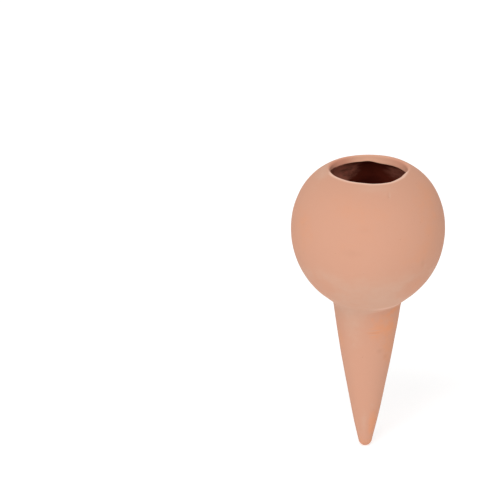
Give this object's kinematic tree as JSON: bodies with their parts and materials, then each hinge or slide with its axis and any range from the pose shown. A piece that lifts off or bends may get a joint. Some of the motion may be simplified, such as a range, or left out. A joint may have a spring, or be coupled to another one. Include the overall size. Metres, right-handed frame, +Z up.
{
  "type": "self watering spike",
  "caption": "Unglazed clay watering spike: a hollow globe with an open round mouth, luted onto a hollow cone with a closed tip that stands in soil and lets water seep out.",
  "frame": {"origin": "on the axis at the soil line, the plane where the globe's outer surface meets the cone's side", "axes": "+Z up along the axis through the mouth, -Z down into the soil towards the tip; X and Y are free, as the form is turned about Z"},
  "size_m": [0.1, 0.1, 0.1911],
  "materials": {
    "clay": "unglazed fired earthenware, matte, with a pale bloom and rubbed orange patches",
    "slip": "fired slip of the same clay, matte, wiped smooth and a little paler"
  },
  "bodies": {
    "root": {"globe": "clay", "spike": "clay", "luting_ring": "slip"}
  },
  "joints": []
}
